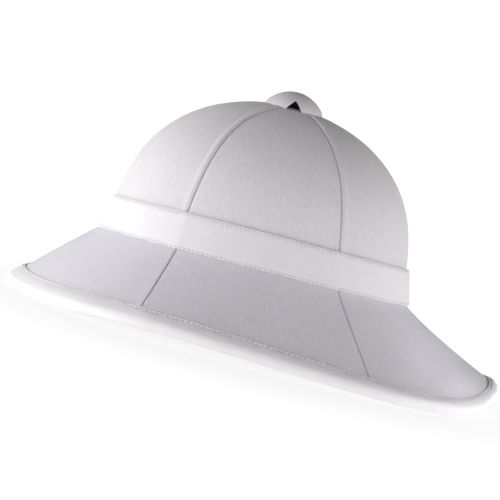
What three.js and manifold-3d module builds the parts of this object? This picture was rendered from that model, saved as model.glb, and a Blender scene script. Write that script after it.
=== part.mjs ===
// Pith helmet: a moulded pith shell under sewn white cotton, with a band, a bound rim and a vent cap.
// Millimetres, +Z up. The front of the helmet faces -Y and the wearer's left is +X.
// The helmet stands on its bound rim on the plane z = 0, and the origin is below the middle of its box.
import * as THREE from "three";
import { mergeVertices } from "three/addons/utils/BufferGeometryUtils.js";
import Module from "manifold-3d";

const DEGREE = Math.PI / 180;

// Driving dimensions of the crown, measured on the outside of its cloth
const CROWN = {
  axisY: -11.2, // the crown's axis stands forward of the middle of the brim
  reach: 100.8, // half length at the band's upper edge
  widthShare: 0.85, // half width over half length, at the foot
  ridge: 0.24, // the dome narrows by this share at the apex, into a soft ridge
  rise: 86.8, // from the band's upper edge to the apex
  taper: 0.15, // the walls lean in by this much per millimetre of height
  crest: 2.8, // power of the dome's curve, 2 being an ellipse
  lean: 0.9 * DEGREE, // the crown dips towards the front
  arch: 1.8, // the base is this much higher over the ears
};
const BAND = { bottomZ: 53.2, height: 22.4, flare: 0.25, thickness: 1.6, bottomGap: 0.6 };

// Thickness of each layer, from the outside in
const CLOTH = 1.0;
const GAP = 0.35;
const SHELL = 3.0;
const SHELL_EDGE = 4.0; // the pith is thicker where the binding grips it
const COVER_TO_PITH = CLOTH + GAP;

// The brim in three directions. A hollow under 1 falls steeply from the crown and then flares.
const BRIM = {
  front: { reach: 155.0, hollow: 1.06 },
  side: { reach: 128.6, hollow: 0.92 },
  rear: { reach: 176.6, hollow: 0.83 },
  rearCorner: 0.04, // the rear corners stand out from an ellipse by this share
};

// Height of the cloth's edge above the table: the rim waves, and rests at the front and rear corners
const RIM_WAVE = [
  { angle: 0, height: 5.3 },
  { angle: 30, height: 5.3 },
  { angle: 76, height: 11.2 },
  { angle: 138, height: 5.8 },
  { angle: 180, height: 19.4 },
];

// Seams, as angles from the front at the foot of the crown, with their drift towards the apex and the rim
const SEAMS = {
  front: { foot: 63.0, apexDrift: 2.0, rimDrift: 4.5 },
  rear: { foot: 117.5, apexDrift: -4.5, rimDrift: 1.5 },
  gap: 0.5,
  weltAngle: 3, // width of the turned-in edge beside a lapped seam
  weltLift: 0.7, // height of the turned-in edge over the cloth that it laps
};

// Binding: a folded strip that grips the edge of the brim
const BINDING = { flap: { front: 10.6, side: 7.8, rear: 6.2 }, thickness: 1.2, noseSteps: 8 };

// Vent at the apex: an open collar through the shell, and a cap with arched air holes
const VENT = {
  shellHole: 11,
  clothHole: 14,
  capRadius: 19.5,
  capHeight: 11.8,
  capWall: 1.5,
  capCrest: 1.75,
  capDrop: 1.4, // the cap's dome springs from this far below the apex
  capSkirt: 6, // length of its skirt before it is trimmed to the crown
  capSides: 32,
  holes: 4,
  holeWidth: 10.4,
  holeTop: 4.2, // above the foot of the cap's dome
  collarBore: 4.5,
  collarRadius: 6,
  collarLength: 8,
  flangeRadius: 16.5,
  flangeThickness: 1.4,
};

// Mesh steps
const STEPS = { frontPanel: 8, sidePanel: 7, rearPanel: 8, dome: 8, bandRows: 3 };
const BRIM_ROWS = [0.012, 0.06, 0.18, 0.4, 0.68, 1];

// Cotton, pith and the blackened metal of the vent
const FINISH = {
  cotton: { color: 0xe6e3e8, roughness: 0.92, metalness: 0 },
  pith: { color: 0xe4dfd2, roughness: 0.95, metalness: 0 },
  metal: { color: 0x1c1b1d, roughness: 0.6, metalness: 0.7 },
};
const finishes = {};
for (const [name, look] of Object.entries(FINISH)) {
  finishes[name] = new THREE.MeshStandardMaterial(look);
}

const wasm = await Module();
wasm.setup();

// A plan point on a ring whose reach differs in front, at the sides and behind
function ringPoint(angle, front, side, rear, rearCorner = 0) {
  const forward = Math.cos(angle);
  const swell = forward < 0 ? 1 + rearCorner * Math.sin(2 * angle) ** 2 : 1;
  const reach = forward > 0 ? front : rear;
  return new THREE.Vector2(side * swell * Math.sin(angle), -reach * swell * forward);
}

// A value that is known at the front, side and rear, at any angle between them
function around(angle, front, side, rear) {
  const end = Math.cos(angle) > 0 ? front : rear;
  return side * Math.sin(angle) ** 2 + end * Math.cos(angle) ** 2;
}

// The reach of the crown's cloth at a height over the band's upper edge, which is negative behind the band
function crownReach(height) {
  if (height < 0) return CROWN.reach - BAND.flare * height;
  const round = Math.sqrt(Math.max(0, 1 - (height / CROWN.rise) ** CROWN.crest));
  return (CROWN.reach - CROWN.taper * height) * round;
}

// An angle turned so that the seams' lines drift as given, and every line between them in proportion
function drifted(angle, frontDrift, rearDrift) {
  const fromFront = Math.acos(Math.cos(angle)) / DEGREE;
  const front = SEAMS.front.foot;
  const rear = SEAMS.rear.foot;
  let drift = THREE.MathUtils.mapLinear(fromFront, front, rear, frontDrift, rearDrift);
  if (fromFront < front) drift = frontDrift * (fromFront / front);
  if (fromFront > rear) drift = rearDrift * ((180 - fromFront) / (180 - rear));
  const side = Math.sin(angle) < 0 ? -1 : 1;
  return angle + side * drift * DEGREE;
}

// A point of the crown's cloth, leaning about the middle of the band's lower edge
function crownPoint(footAngle, height) {
  const share = Math.max(0, height) / CROWN.rise;
  const angle = drifted(footAngle, SEAMS.front.apexDrift * share, SEAMS.rear.apexDrift * share);
  const reach = crownReach(height);
  const width = reach * CROWN.widthShare * (1 - CROWN.ridge * share ** 2);
  const plan = ringPoint(angle, reach, width, reach);
  const up = BAND.height + height + CROWN.arch * (1 - share) * Math.sin(angle) ** 2;
  const y = plan.y * Math.cos(CROWN.lean) - up * Math.sin(CROWN.lean);
  const z = plan.y * Math.sin(CROWN.lean) + up * Math.cos(CROWN.lean);
  return new THREE.Vector3(plan.x, CROWN.axisY + y, BAND.bottomZ + z);
}

// Height of the edge of the brim's cloth, easing from each row of the wave to the next
function rimHeight(angle) {
  const fromFront = Math.acos(Math.cos(angle)) / DEGREE;
  const next = Math.max(1, RIM_WAVE.findIndex((row) => row.angle >= fromFront - 1e-9));
  const low = RIM_WAVE[next - 1];
  const high = RIM_WAVE[next];
  const ease = THREE.MathUtils.smoothstep(fromFront, low.angle, high.angle);
  return THREE.MathUtils.lerp(low.height, high.height, ease);
}

// A point of the brim's cloth, at a share of the way from the crown to the rim
function brimPoint(angle, share) {
  const root = crownPoint(angle, -BAND.height);
  const rimAngle = drifted(angle, SEAMS.front.rimDrift, SEAMS.rear.rimDrift);
  const { front, side, rear, rearCorner } = BRIM;
  const rim = ringPoint(rimAngle, front.reach, side.reach, rear.reach, rearCorner);
  const hollow = around(rimAngle, front.hollow, side.hollow, rear.hollow);
  return new THREE.Vector3(
    THREE.MathUtils.lerp(root.x, rim.x, share),
    THREE.MathUtils.lerp(root.y, CROWN.axisY + rim.y, share),
    THREE.MathUtils.lerp(root.z, rimHeight(rimAngle), share ** hollow),
  );
}

// Heights of the dome's rows, from a hole round the apex down to the band's upper edge
function domeHeights(holeRadius) {
  const topTurn = Math.acos(holeRadius / (CROWN.reach - CROWN.taper * CROWN.rise));
  const heights = [];
  for (let step = 0; step <= STEPS.dome; step++) {
    const turn = topTurn * (1 - step / STEPS.dome);
    heights.push(CROWN.rise * Math.sin(turn) ** (2 / CROWN.crest));
  }
  return heights;
}

// Heights of the rows behind the band, ending a little above its lower edge
function bandHeights(lowestGap) {
  const heights = [];
  for (let step = 1; step <= STEPS.bandRows; step++) {
    heights.push(-(BAND.height - lowestGap) * (step / STEPS.bandRows));
  }
  return heights;
}

// Evenly spaced angles in radians, with both ends
function spread(from, to, steps) {
  const angles = [];
  for (let step = 0; step <= steps; step++) {
    angles.push(THREE.MathUtils.lerp(from, to, step / steps) * DEGREE);
  }
  return angles;
}

// The angles of each stretch of the left half. Lapped stretches have a narrow welt beside the seam.
const frontWelt = SEAMS.front.foot - SEAMS.weltAngle;
const rearWelt = SEAMS.rear.foot + SEAMS.weltAngle;
const LEFT = {
  front: [...spread(0, frontWelt, STEPS.frontPanel - 1), SEAMS.front.foot * DEGREE],
  side: spread(SEAMS.front.foot, SEAMS.rear.foot, STEPS.sidePanel),
  rear: [SEAMS.rear.foot * DEGREE, ...spread(rearWelt, 180, STEPS.rearPanel - 1)],
};
const mirrored = (angles) => angles.map((angle) => -angle).reverse();
const RIGHT = {
  front: mirrored(LEFT.front),
  side: mirrored(LEFT.side),
  rear: mirrored(LEFT.rear),
};
const FULL_TURN = [
  ...LEFT.front.slice(0, -1),
  ...LEFT.side.slice(0, -1),
  ...LEFT.rear.slice(0, -1),
  ...RIGHT.rear.slice(0, -1),
  ...RIGHT.side.slice(0, -1),
  ...RIGHT.front.slice(0, -1),
];

// Outward directions of a grid of points, from the neighbours of each point
function gridNormals(grid, wraps) {
  const lastRow = grid.length - 1;
  const columns = grid[0].length;
  return grid.map((row, i) =>
    row.map((point, j) => {
      const before = wraps ? (j + columns - 1) % columns : Math.max(0, j - 1);
      const after = wraps ? (j + 1) % columns : Math.min(columns - 1, j + 1);
      const down = grid[Math.min(lastRow, i + 1)][j].clone().sub(grid[Math.max(0, i - 1)][j]);
      const along = row[after].clone().sub(row[before]);
      return down.cross(along).normalize();
    }),
  );
}

// A grid moved along its normals. depth is a function of row and column, positive outwards.
function offsetGrid(grid, normals, depth) {
  return grid.map((row, i) =>
    row.map((point, j) => point.clone().addScaledVector(normals[i][j], depth(i, j))),
  );
}

// A closed wall between an outer and an inner grid. Rows run down and columns run round from the front.
function wall(outer, inner, wraps) {
  const rows = outer.length;
  const columns = outer[0].length;
  const positions = [];
  for (const grid of [outer, inner]) {
    for (const row of grid) for (const point of row) positions.push(point.x, point.y, point.z);
  }
  const out = (i, j) => i * columns + (j % columns);
  const back = (i, j) => rows * columns + out(i, j);
  const faces = [];
  const quad = (a, b, c, d) => faces.push(a, b, c, a, c, d);
  const spans = wraps ? columns : columns - 1;
  for (let j = 0; j < spans; j++) {
    for (let i = 0; i < rows - 1; i++) {
      quad(out(i, j), out(i + 1, j), out(i + 1, j + 1), out(i, j + 1));
      quad(back(i, j), back(i, j + 1), back(i + 1, j + 1), back(i + 1, j));
    }
    const end = rows - 1;
    quad(out(0, j), out(0, j + 1), back(0, j + 1), back(0, j));
    quad(out(end, j), back(end, j), back(end, j + 1), out(end, j + 1));
  }
  for (let i = 0; i < rows - 1 && !wraps; i++) {
    const side = columns - 1;
    quad(out(i, 0), back(i, 0), back(i + 1, 0), out(i + 1, 0));
    quad(out(i, side), out(i + 1, side), back(i + 1, side), back(i, side));
  }
  const geometry = new THREE.BufferGeometry();
  geometry.setAttribute("position", new THREE.Float32BufferAttribute(positions, 3));
  geometry.setIndex(faces);
  geometry.computeVertexNormals();
  return geometry;
}

function named(name, geometry, finish) {
  const mesh = new THREE.Mesh(geometry, finishes[finish]);
  mesh.name = name;
  return mesh;
}

// The moulded pith shell: dome, head opening and brim in one hollow wall, open at the vent
function pithShell() {
  const heights = [...domeHeights(VENT.shellHole), ...bandHeights(0)];
  const cover = [
    ...heights.map((height) => FULL_TURN.map((angle) => crownPoint(angle, height))),
    ...BRIM_ROWS.map((share) => FULL_TURN.map((angle) => brimPoint(angle, share))),
  ];
  const normals = gridNormals(cover, true);
  const lastRow = cover.length - 1;
  const outer = offsetGrid(cover, normals, () => -COVER_TO_PITH);
  const inner = offsetGrid(cover, normals, (i) => -COVER_TO_PITH - (i === lastRow ? SHELL_EDGE : SHELL));
  return named("pith_shell", wall(outer, inner, true), "pith");
}

// The two edges of a cloth panel drawn back by half a seam's gap
function drawnBack(grid) {
  return grid.map((row) => {
    const last = row.length - 1;
    const edges = row.map((point) => point.clone());
    const inwards = (from, to) => row[to].clone().sub(row[from]).setLength(SEAMS.gap / 2);
    edges[0].add(inwards(0, 1));
    edges[last].add(inwards(last, last - 1));
    return edges;
  });
}

// A cloth panel over a grid of its outer face. Lapped edges stand up in a welt, as high as each row lets it.
function clothPanel(name, grid, lapped, weltShares) {
  const face = drawnBack(grid);
  const normals = gridNormals(face, false);
  const welts = { start: 0, end: face[0].length - 1 };
  const lappedColumns = lapped.map((edge) => welts[edge]);
  const lift = (i, j) => (lappedColumns.includes(j) ? SEAMS.weltLift * weltShares[i] : 0);
  const outer = offsetGrid(face, normals, lift);
  const inner = offsetGrid(face, normals, () => -CLOTH);
  return named(name, wall(outer, inner, false), "cotton");
}

// Six gores of cloth, sewn from the vent to the head opening. The side gores lie under their neighbours.
function crownPanels() {
  const heights = [...domeHeights(VENT.clothHole), ...bandHeights(GAP)];
  const weltShares = heights.map((height) => THREE.MathUtils.clamp(height / 10, 0, 1));
  const gore = (name, angles, lapped) => {
    const grid = heights.map((height) => angles.map((angle) => crownPoint(angle, height)));
    return clothPanel(name, grid, lapped, weltShares);
  };
  return [
    gore("crown_panel_front_left", LEFT.front, ["end"]),
    gore("crown_panel_left", LEFT.side, []),
    gore("crown_panel_rear_left", LEFT.rear, ["start"]),
    gore("crown_panel_rear_right", RIGHT.rear, ["end"]),
    gore("crown_panel_right", RIGHT.side, []),
    gore("crown_panel_front_right", RIGHT.front, ["start"]),
  ];
}

// Four pieces of cloth over the brim: the front and rear pieces lap the side pieces
function brimPanels() {
  const weltShares = BRIM_ROWS.map((share) => 1 - share);
  const piece = (name, angles, lapped) => {
    const grid = BRIM_ROWS.map((share) => angles.map((angle) => brimPoint(angle, share)));
    return clothPanel(name, grid, lapped, weltShares);
  };
  return [
    piece("brim_panel_front", [...RIGHT.front.slice(0, -1), ...LEFT.front], ["start", "end"]),
    piece("brim_panel_left", LEFT.side, []),
    piece("brim_panel_rear", [...LEFT.rear.slice(0, -1), ...RIGHT.rear], ["start", "end"]),
    piece("brim_panel_right", RIGHT.side, []),
  ];
}

// The hat band: one folded strip round the foot of the crown, over the seams
function hatBand() {
  const heights = [0, ...bandHeights(BAND.bottomGap)];
  const cover = heights.map((height) => FULL_TURN.map((angle) => crownPoint(angle, height)));
  const normals = gridNormals(cover, true);
  const outer = offsetGrid(cover, normals, () => GAP + BAND.thickness);
  const inner = offsetGrid(cover, normals, () => GAP);
  return named("hat_band", wall(outer, inner, true), "cotton");
}

// The section of the binding, along the brim's slope and across it, from the upper flap round the nose
function bindingSection(angle, inset) {
  const top = 2 * GAP + BINDING.thickness;
  const bottom = -(COVER_TO_PITH + SHELL_EDGE + GAP + BINDING.thickness);
  const radius = (top - bottom) / 2 - inset;
  const middle = (top + bottom) / 2;
  const flap = around(angle, BINDING.flap.front, BINDING.flap.side, BINDING.flap.rear);
  const section = [{ along: -flap, across: middle + radius }];
  for (let step = 0; step <= BINDING.noseSteps; step++) {
    const turn = Math.PI / 2 - (Math.PI * step) / BINDING.noseSteps;
    section.push({ along: radius * Math.cos(turn), across: middle + radius * Math.sin(turn) });
  }
  section.push({ along: -flap, across: middle - radius });
  return section;
}

// The rim's binding. Its cloth is flattened against the table where the helmet rests on it.
function rimBinding() {
  const shares = BRIM_ROWS.slice(-2);
  const cover = shares.map((share) => FULL_TURN.map((angle) => brimPoint(angle, share)));
  const normals = gridNormals(cover, true)[1];
  const place = ({ along, across }, j) => {
    const slope = cover[1][j].clone().sub(cover[0][j]).normalize();
    const point = cover[1][j].clone().addScaledVector(slope, along).addScaledVector(normals[j], across);
    point.z = Math.max(0, point.z);
    return point;
  };
  const sweep = (inset) => {
    const sections = FULL_TURN.map((angle) => bindingSection(angle, inset));
    return sections[0].map((_, i) => sections.map((section, j) => place(section[i], j)));
  };
  return named("rim_binding", wall(sweep(0), sweep(BINDING.thickness), true), "cotton");
}

// Between a three.js geometry and a solid for cutting
function toSolid(geometry) {
  const bare = geometry.clone();
  bare.deleteAttribute("normal");
  bare.deleteAttribute("uv");
  const merged = mergeVertices(bare, 1e-4);
  return new wasm.Manifold(
    new wasm.Mesh({
      numProp: 3,
      vertProperties: new Float32Array(merged.attributes.position.array),
      triVerts: new Uint32Array(merged.index.array),
    }),
  );
}

function toGeometry(solid) {
  const mesh = solid.getMesh();
  const geometry = new THREE.BufferGeometry();
  geometry.setAttribute("position", new THREE.BufferAttribute(mesh.vertProperties, 3));
  geometry.setIndex(new THREE.BufferAttribute(mesh.triVerts, 1));
  geometry.computeVertexNormals();
  return geometry;
}

// A lathed solid about +Z from a profile of radius and height
function lathed(profile, sides) {
  return new THREE.LatheGeometry(profile, sides).rotateX(Math.PI / 2);
}

// Where the vent stands: on the apex, leaning with the crown
function ventPlace() {
  const place = new THREE.Matrix4().makeRotationX(CROWN.lean);
  return place.setPosition(crownPoint(0, CROWN.rise));
}

// The outline of the cap, from the foot of its skirt over the dome to the axis
function capOutline(radius, height) {
  const steps = 7;
  const outline = [new THREE.Vector2(radius, -VENT.capSkirt)];
  for (let step = 0; step <= steps; step++) {
    const turn = (Math.PI / 2) * (step / steps);
    const r = step === steps ? 0 : radius * Math.cos(turn);
    outline.push(new THREE.Vector2(r, height * Math.sin(turn) ** (2 / VENT.capCrest)));
  }
  return outline;
}

// A pointed air hole, from below the skirt up to its rounded top, as a cutter that faces the front
function airHole() {
  const shape = new THREE.Shape();
  shape.moveTo(-VENT.holeWidth / 2, -VENT.capSkirt);
  shape.lineTo(VENT.holeWidth / 2, -VENT.capSkirt);
  shape.lineTo(0.8, VENT.holeTop - 0.6);
  shape.quadraticCurveTo(0, VENT.holeTop, -0.8, VENT.holeTop - 0.6);
  shape.closePath();
  const cutter = new THREE.ExtrudeGeometry(shape, { depth: 20, bevelEnabled: false, curveSegments: 4 });
  return cutter.translate(0, 0, VENT.capRadius / 2).rotateX(Math.PI / 2);
}

// The crown's cloth round the vent, as a thick ring that trims the cap's skirt clear of it
function crownTrim() {
  const heights = domeHeights(VENT.shellHole).slice(0, 4);
  const cover = heights.map((height) => FULL_TURN.map((angle) => crownPoint(angle, height)));
  const normals = gridNormals(cover, true);
  const above = offsetGrid(cover, normals, () => SEAMS.weltLift + GAP);
  const below = offsetGrid(cover, normals, () => -2 * VENT.capSkirt);
  return wall(above, below, true);
}

// The vent cap: a cloth-covered dome with pointed air holes, and a skirt that follows the crown
function ventCap() {
  const { capRadius, capHeight, capWall, capDrop, capSides, holes } = VENT;
  const outside = capOutline(capRadius, capHeight);
  const inside = capOutline(capRadius - capWall, capHeight - capWall);
  const profile = [...inside.reverse(), ...outside];
  let cap = toSolid(lathed(profile, capSides));
  for (let turn = 0; turn < holes; turn++) {
    cap = cap.subtract(toSolid(airHole().rotateZ((2 * Math.PI * turn) / holes)));
  }
  const placed = toGeometry(cap).translate(0, 0, -capDrop).applyMatrix4(ventPlace());
  const trimmed = toSolid(placed).subtract(toSolid(crownTrim()));
  return named("vent_cap", toGeometry(trimmed), "cotton");
}

// The collar: a flanged tube through the crown that the cap fits over
function ventCollar() {
  const { collarBore, collarRadius, collarLength, flangeRadius, flangeThickness } = VENT;
  const profile = [
    new THREE.Vector2(collarBore, -collarLength),
    new THREE.Vector2(collarRadius, -collarLength),
    new THREE.Vector2(collarRadius, GAP),
    new THREE.Vector2(flangeRadius, GAP),
    new THREE.Vector2(flangeRadius, GAP + flangeThickness),
    new THREE.Vector2(collarBore, GAP + flangeThickness),
    new THREE.Vector2(collarBore, -collarLength),
  ];
  const tube = lathed(profile, VENT.capSides).applyMatrix4(ventPlace());
  return named("vent_collar", tube, "metal");
}

const helmet = new THREE.Group();
helmet.add(pithShell(), ...crownPanels(), ...brimPanels(), hatBand(), rimBinding());
helmet.add(ventCollar(), ventCap());

export default helmet;
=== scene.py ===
# A white pith helmet, standing on its rim. Metres, +Z up, the front of the helmet faces -Y
# and the wearer's left is +X. Sizes below are in millimetres until a mesh is made.
import math

import bpy
import numpy as np
from mathutils import Matrix, Vector


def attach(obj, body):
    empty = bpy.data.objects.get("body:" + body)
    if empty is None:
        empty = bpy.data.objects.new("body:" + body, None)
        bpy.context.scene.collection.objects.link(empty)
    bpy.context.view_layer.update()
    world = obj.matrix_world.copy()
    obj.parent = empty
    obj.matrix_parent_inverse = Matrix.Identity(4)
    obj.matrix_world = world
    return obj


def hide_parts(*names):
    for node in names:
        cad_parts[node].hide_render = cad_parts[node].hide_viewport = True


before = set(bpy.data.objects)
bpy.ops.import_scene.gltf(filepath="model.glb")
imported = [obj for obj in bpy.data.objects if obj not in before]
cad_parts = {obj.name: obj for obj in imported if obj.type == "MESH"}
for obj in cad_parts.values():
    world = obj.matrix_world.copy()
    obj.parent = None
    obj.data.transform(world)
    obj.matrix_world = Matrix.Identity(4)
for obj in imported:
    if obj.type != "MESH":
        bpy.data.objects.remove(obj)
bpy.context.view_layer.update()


# Pith shell: the helmet's moulded body, crown and brim in one wall of pressed pith, pale and fibrous.
# It is shaped over a block while damp, sanded, and open under the vent at the top of the crown.
# Every sewn piece lies over this form, so the form is written here, on the outside of the cloth.
MM = 0.001
CROWN_AXIS_Y = -11.2
CROWN_REACH = 100.8
CROWN_WIDTH_SHARE = 0.85
CROWN_RIDGE = 0.24
CROWN_RISE = 86.8
CROWN_TAPER = 0.15
CROWN_CREST = 2.8
CROWN_LEAN = math.radians(0.9)
CROWN_ARCH = 1.8
CROWN_FLAT = 0.014
BAND_BOTTOM_Z = 53.2
BAND_HEIGHT = 22.4
BAND_FLARE = 0.25
BRIM_REACH = (155.0, 128.6, 176.6)
BRIM_HOLLOW = (1.06, 0.92, 0.83)
BRIM_REAR_CORNER = 0.04
BRIM_FLAT = 1.5
RIM_WAVE_ANGLES = (0, 30, 76, 138, 180)
RIM_WAVE_HEIGHTS = (5.3, 5.3, 11.2, 5.8, 19.4)
FRONT_SEAM, FRONT_APEX_DRIFT, FRONT_RIM_DRIFT = 63.0, 2.0, 4.5
REAR_SEAM, REAR_APEX_DRIFT, REAR_RIM_DRIFT = 117.5, -4.5, 1.5
CLOTH = 1.0
LAYER_GAP = 0.35
PITH_WALL = 3.0
PITH_EDGE = 4.0
SHELL_HOLE = 11


def from_front(angle):
    return np.degrees(np.arccos(np.clip(np.cos(np.radians(angle)), -1, 1)))


def across_gore(angle):
    """0 at one seam of a gore and 1 at the next"""
    away = from_front(angle)
    middle = (away - FRONT_SEAM) / (REAR_SEAM - FRONT_SEAM)
    rear = (180 - away) / (180 - REAR_SEAM)
    return np.where(away < FRONT_SEAM, away / FRONT_SEAM, np.where(away > REAR_SEAM, rear, middle))


def drifted(angle, front_drift, rear_drift):
    away = from_front(angle)
    span = (away - FRONT_SEAM) / (REAR_SEAM - FRONT_SEAM)
    drift = front_drift + (rear_drift - front_drift) * span
    drift = np.where(away < FRONT_SEAM, front_drift * away / FRONT_SEAM, drift)
    drift = np.where(away > REAR_SEAM, rear_drift * (180 - away) / (180 - REAR_SEAM), drift)
    return angle + np.where(np.sin(np.radians(angle)) < 0, -1, 1) * drift


def ring_plan(angle, front, side, rear, corner=0.0):
    turn = np.radians(angle)
    forward = np.cos(turn)
    swell = np.where(forward < 0, 1 + corner * np.sin(2 * turn) ** 2, 1.0)
    reach = np.where(forward > 0, front, rear)
    return side * swell * np.sin(turn), -reach * swell * forward


def around(angle, front, side, rear):
    turn = np.radians(angle)
    end = np.where(np.cos(turn) > 0, front, rear)
    return side * np.sin(turn) ** 2 + end * np.cos(turn) ** 2


def crown_point(foot_angle, height):
    foot_angle, height = np.broadcast_arrays(np.asarray(foot_angle, float), np.asarray(height, float))
    share = np.maximum(0, height) / CROWN_RISE
    angle = drifted(foot_angle, FRONT_APEX_DRIFT * share, REAR_APEX_DRIFT * share)
    domed = (CROWN_REACH - CROWN_TAPER * height) * np.sqrt(np.maximum(0, 1 - share ** CROWN_CREST))
    reach = np.where(height < 0, CROWN_REACH - BAND_FLARE * height, domed)
    reach = reach * (1 - CROWN_FLAT * np.sin(math.pi * across_gore(foot_angle)))
    width = reach * CROWN_WIDTH_SHARE * (1 - CROWN_RIDGE * share ** 2)
    x, y = ring_plan(angle, reach, width, reach)
    up = BAND_HEIGHT + height + CROWN_ARCH * (1 - share) * np.sin(np.radians(angle)) ** 2
    lean_y = y * math.cos(CROWN_LEAN) - up * math.sin(CROWN_LEAN)
    lean_z = y * math.sin(CROWN_LEAN) + up * math.cos(CROWN_LEAN)
    return np.stack([x, CROWN_AXIS_Y + lean_y, BAND_BOTTOM_Z + lean_z], axis=-1)


def rim_height(angle):
    away = from_front(angle)
    row = np.clip(np.searchsorted(RIM_WAVE_ANGLES, away - 1e-9), 1, len(RIM_WAVE_ANGLES) - 1)
    angles, heights = np.array(RIM_WAVE_ANGLES, float), np.array(RIM_WAVE_HEIGHTS, float)
    share = np.clip((away - angles[row - 1]) / (angles[row] - angles[row - 1]), 0, 1)
    return heights[row - 1] + (heights[row] - heights[row - 1]) * share * share * (3 - 2 * share)


def brim_point(foot_angle, share):
    foot_angle, share = np.broadcast_arrays(np.asarray(foot_angle, float), np.asarray(share, float))
    root = crown_point(foot_angle, np.full(foot_angle.shape, -BAND_HEIGHT))
    rim_angle = drifted(foot_angle, FRONT_RIM_DRIFT, REAR_RIM_DRIFT)
    away, across = from_front(foot_angle), across_gore(foot_angle)
    side_piece = (away >= FRONT_SEAM) & (away <= REAR_SEAM)
    drawn_in = BRIM_FLAT * np.sin(math.pi * across) * np.where(side_piece, 1.0, across)
    x, y = ring_plan(rim_angle, *BRIM_REACH, BRIM_REAR_CORNER)
    inward = 1 - drawn_in / np.hypot(x, y)
    hollow = around(rim_angle, *BRIM_HOLLOW)
    rim = np.stack([x * inward, CROWN_AXIS_Y + y * inward, rim_height(rim_angle)], axis=-1)
    plan = root[..., :2] + (rim[..., :2] - root[..., :2]) * share[..., None]
    z = root[..., 2] + (rim[..., 2] - root[..., 2]) * share ** hollow
    return np.concatenate([plan, z[..., None]], axis=-1)


def dome_heights(hole_radius, rows):
    top = math.acos(hole_radius / (CROWN_REACH - CROWN_TAPER * CROWN_RISE))
    return CROWN_RISE * np.sin(top * (1 - np.arange(rows + 1) / rows)) ** (2 / CROWN_CREST)


def outward(grid, wraps):
    """Outward directions of a grid of points whose rows run down and whose columns run round"""
    if wraps:
        along = np.roll(grid, -1, axis=1) - np.roll(grid, 1, axis=1)
    else:
        along = np.gradient(grid, axis=1)
    normal = np.cross(np.gradient(grid, axis=0), along)
    return normal / np.linalg.norm(normal, axis=-1, keepdims=True)


def grid_faces(rows, columns, wrap_rows, wrap_columns):
    i, j = np.meshgrid(
        np.arange(rows if wrap_rows else rows - 1),
        np.arange(columns if wrap_columns else columns - 1), indexing="ij")
    corners = [(i, j), (i + 1, j), (i + 1, j + 1), (i, j + 1)]
    index = np.stack([(a % rows) * columns + b % columns for a, b in corners], axis=-1).reshape(-1, 4)
    lattice = np.stack([np.stack([a, b], axis=-1) for a, b in corners], axis=-2).reshape(-1, 4, 2)
    return index, lattice


def lengths_along(grid, axis, wraps):
    closed = np.concatenate([grid, np.take(grid, [0], axis=axis)], axis=axis) if wraps else grid
    steps = np.linalg.norm(np.diff(closed, axis=axis), axis=-1)
    pad = [(0, 0), (0, 0)]
    pad[axis] = (1, 0)
    return np.pad(np.cumsum(steps, axis=axis), pad)


def make_mesh(name, points, faces, face_uv, crease_degrees, painted_shade_mask=None):
    """A mesh object from points in millimetres, with its cloth laid out in metres as its UV map"""
    mesh = bpy.data.meshes.new(name)
    mesh.from_pydata((points * MM).tolist(), [], [list(f) for f in faces])
    layer = mesh.uv_layers.new(name="cut")
    layer.data.foreach_set("uv", (np.asarray(face_uv, float).reshape(-1, 2) * MM).ravel())
    mesh.polygons.foreach_set("use_smooth", [True] * len(mesh.polygons))
    mesh.set_sharp_from_angle(angle=math.radians(crease_degrees))
    if painted_shade_mask is not None:
        shade = mesh.attributes.new("painted_shade_mask", "FLOAT", "POINT")
        shade.data.foreach_set("value", np.asarray(painted_shade_mask, float).ravel())
    mesh.validate()
    mesh.update()
    piece = bpy.data.objects.new(name, mesh)
    bpy.context.scene.collection.objects.link(piece)
    return piece


def sewn_wall(name, outer, inner, wraps, crease_degrees, painted_shade_mask=None):
    """A closed wall of cloth or pith between the grids of its outer and inner faces"""
    rows, columns = outer.shape[:2]
    index, lattice = grid_faces(rows, columns, False, wraps)
    across = lengths_along(outer, 1, wraps)
    across = across - across[:, across.shape[1] // 2][:, None]
    down = lengths_along(outer, 0, False)[:, columns // 2]
    lay = np.stack([across, np.broadcast_to(down[:, None], across.shape)], axis=-1)
    uv = lay[lattice[..., 0], lattice[..., 1]]
    count = rows * columns
    faces, face_uv = [index, index[:, ::-1] + count], [uv, uv[:, ::-1]]
    turned = np.array([0.0, CLOTH])
    j = np.arange(columns if wraps else columns - 1)
    k = (j + 1) % columns
    first, last = lay[0], lay[-1]
    faces.append(np.stack([j, k, k + count, j + count], axis=-1))
    face_uv.append(np.stack([first[j], first[j + 1], first[j + 1] - turned, first[j] - turned], axis=1))
    base = (rows - 1) * columns
    faces.append(np.stack([base + j, base + j + count, base + k + count, base + k], axis=-1))
    face_uv.append(np.stack([last[j], last[j] + turned, last[j + 1] + turned, last[j + 1]], axis=1))
    if not wraps:
        i = np.arange(rows - 1)
        a, b, side, left, right = i * columns, (i + 1) * columns, columns - 1, lay[:, 0], lay[:, -1]
        faces.append(np.stack([a, a + count, b + count, b], axis=-1))
        face_uv.append(np.stack(
            [left[i], left[i] - turned[::-1], left[i + 1] - turned[::-1], left[i + 1]], axis=1))
        faces.append(np.stack([a + side, b + side, b + side + count, a + side + count], axis=-1))
        face_uv.append(np.stack(
            [right[i], right[i + 1], right[i + 1] + turned[::-1], right[i] + turned[::-1]], axis=1))
    points = np.concatenate([outer.reshape(-1, 3), inner.reshape(-1, 3)])
    both = None if painted_shade_mask is None else np.concatenate([np.asarray(painted_shade_mask).ravel()] * 2)
    return make_mesh(name, points, np.concatenate(faces), np.concatenate(face_uv), crease_degrees, both)


def start_material(name):
    material = bpy.data.materials.new(name)
    material.use_nodes = True
    nodes, links = material.node_tree.nodes, material.node_tree.links
    return material, nodes, links, nodes["Principled BSDF"]


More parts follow.
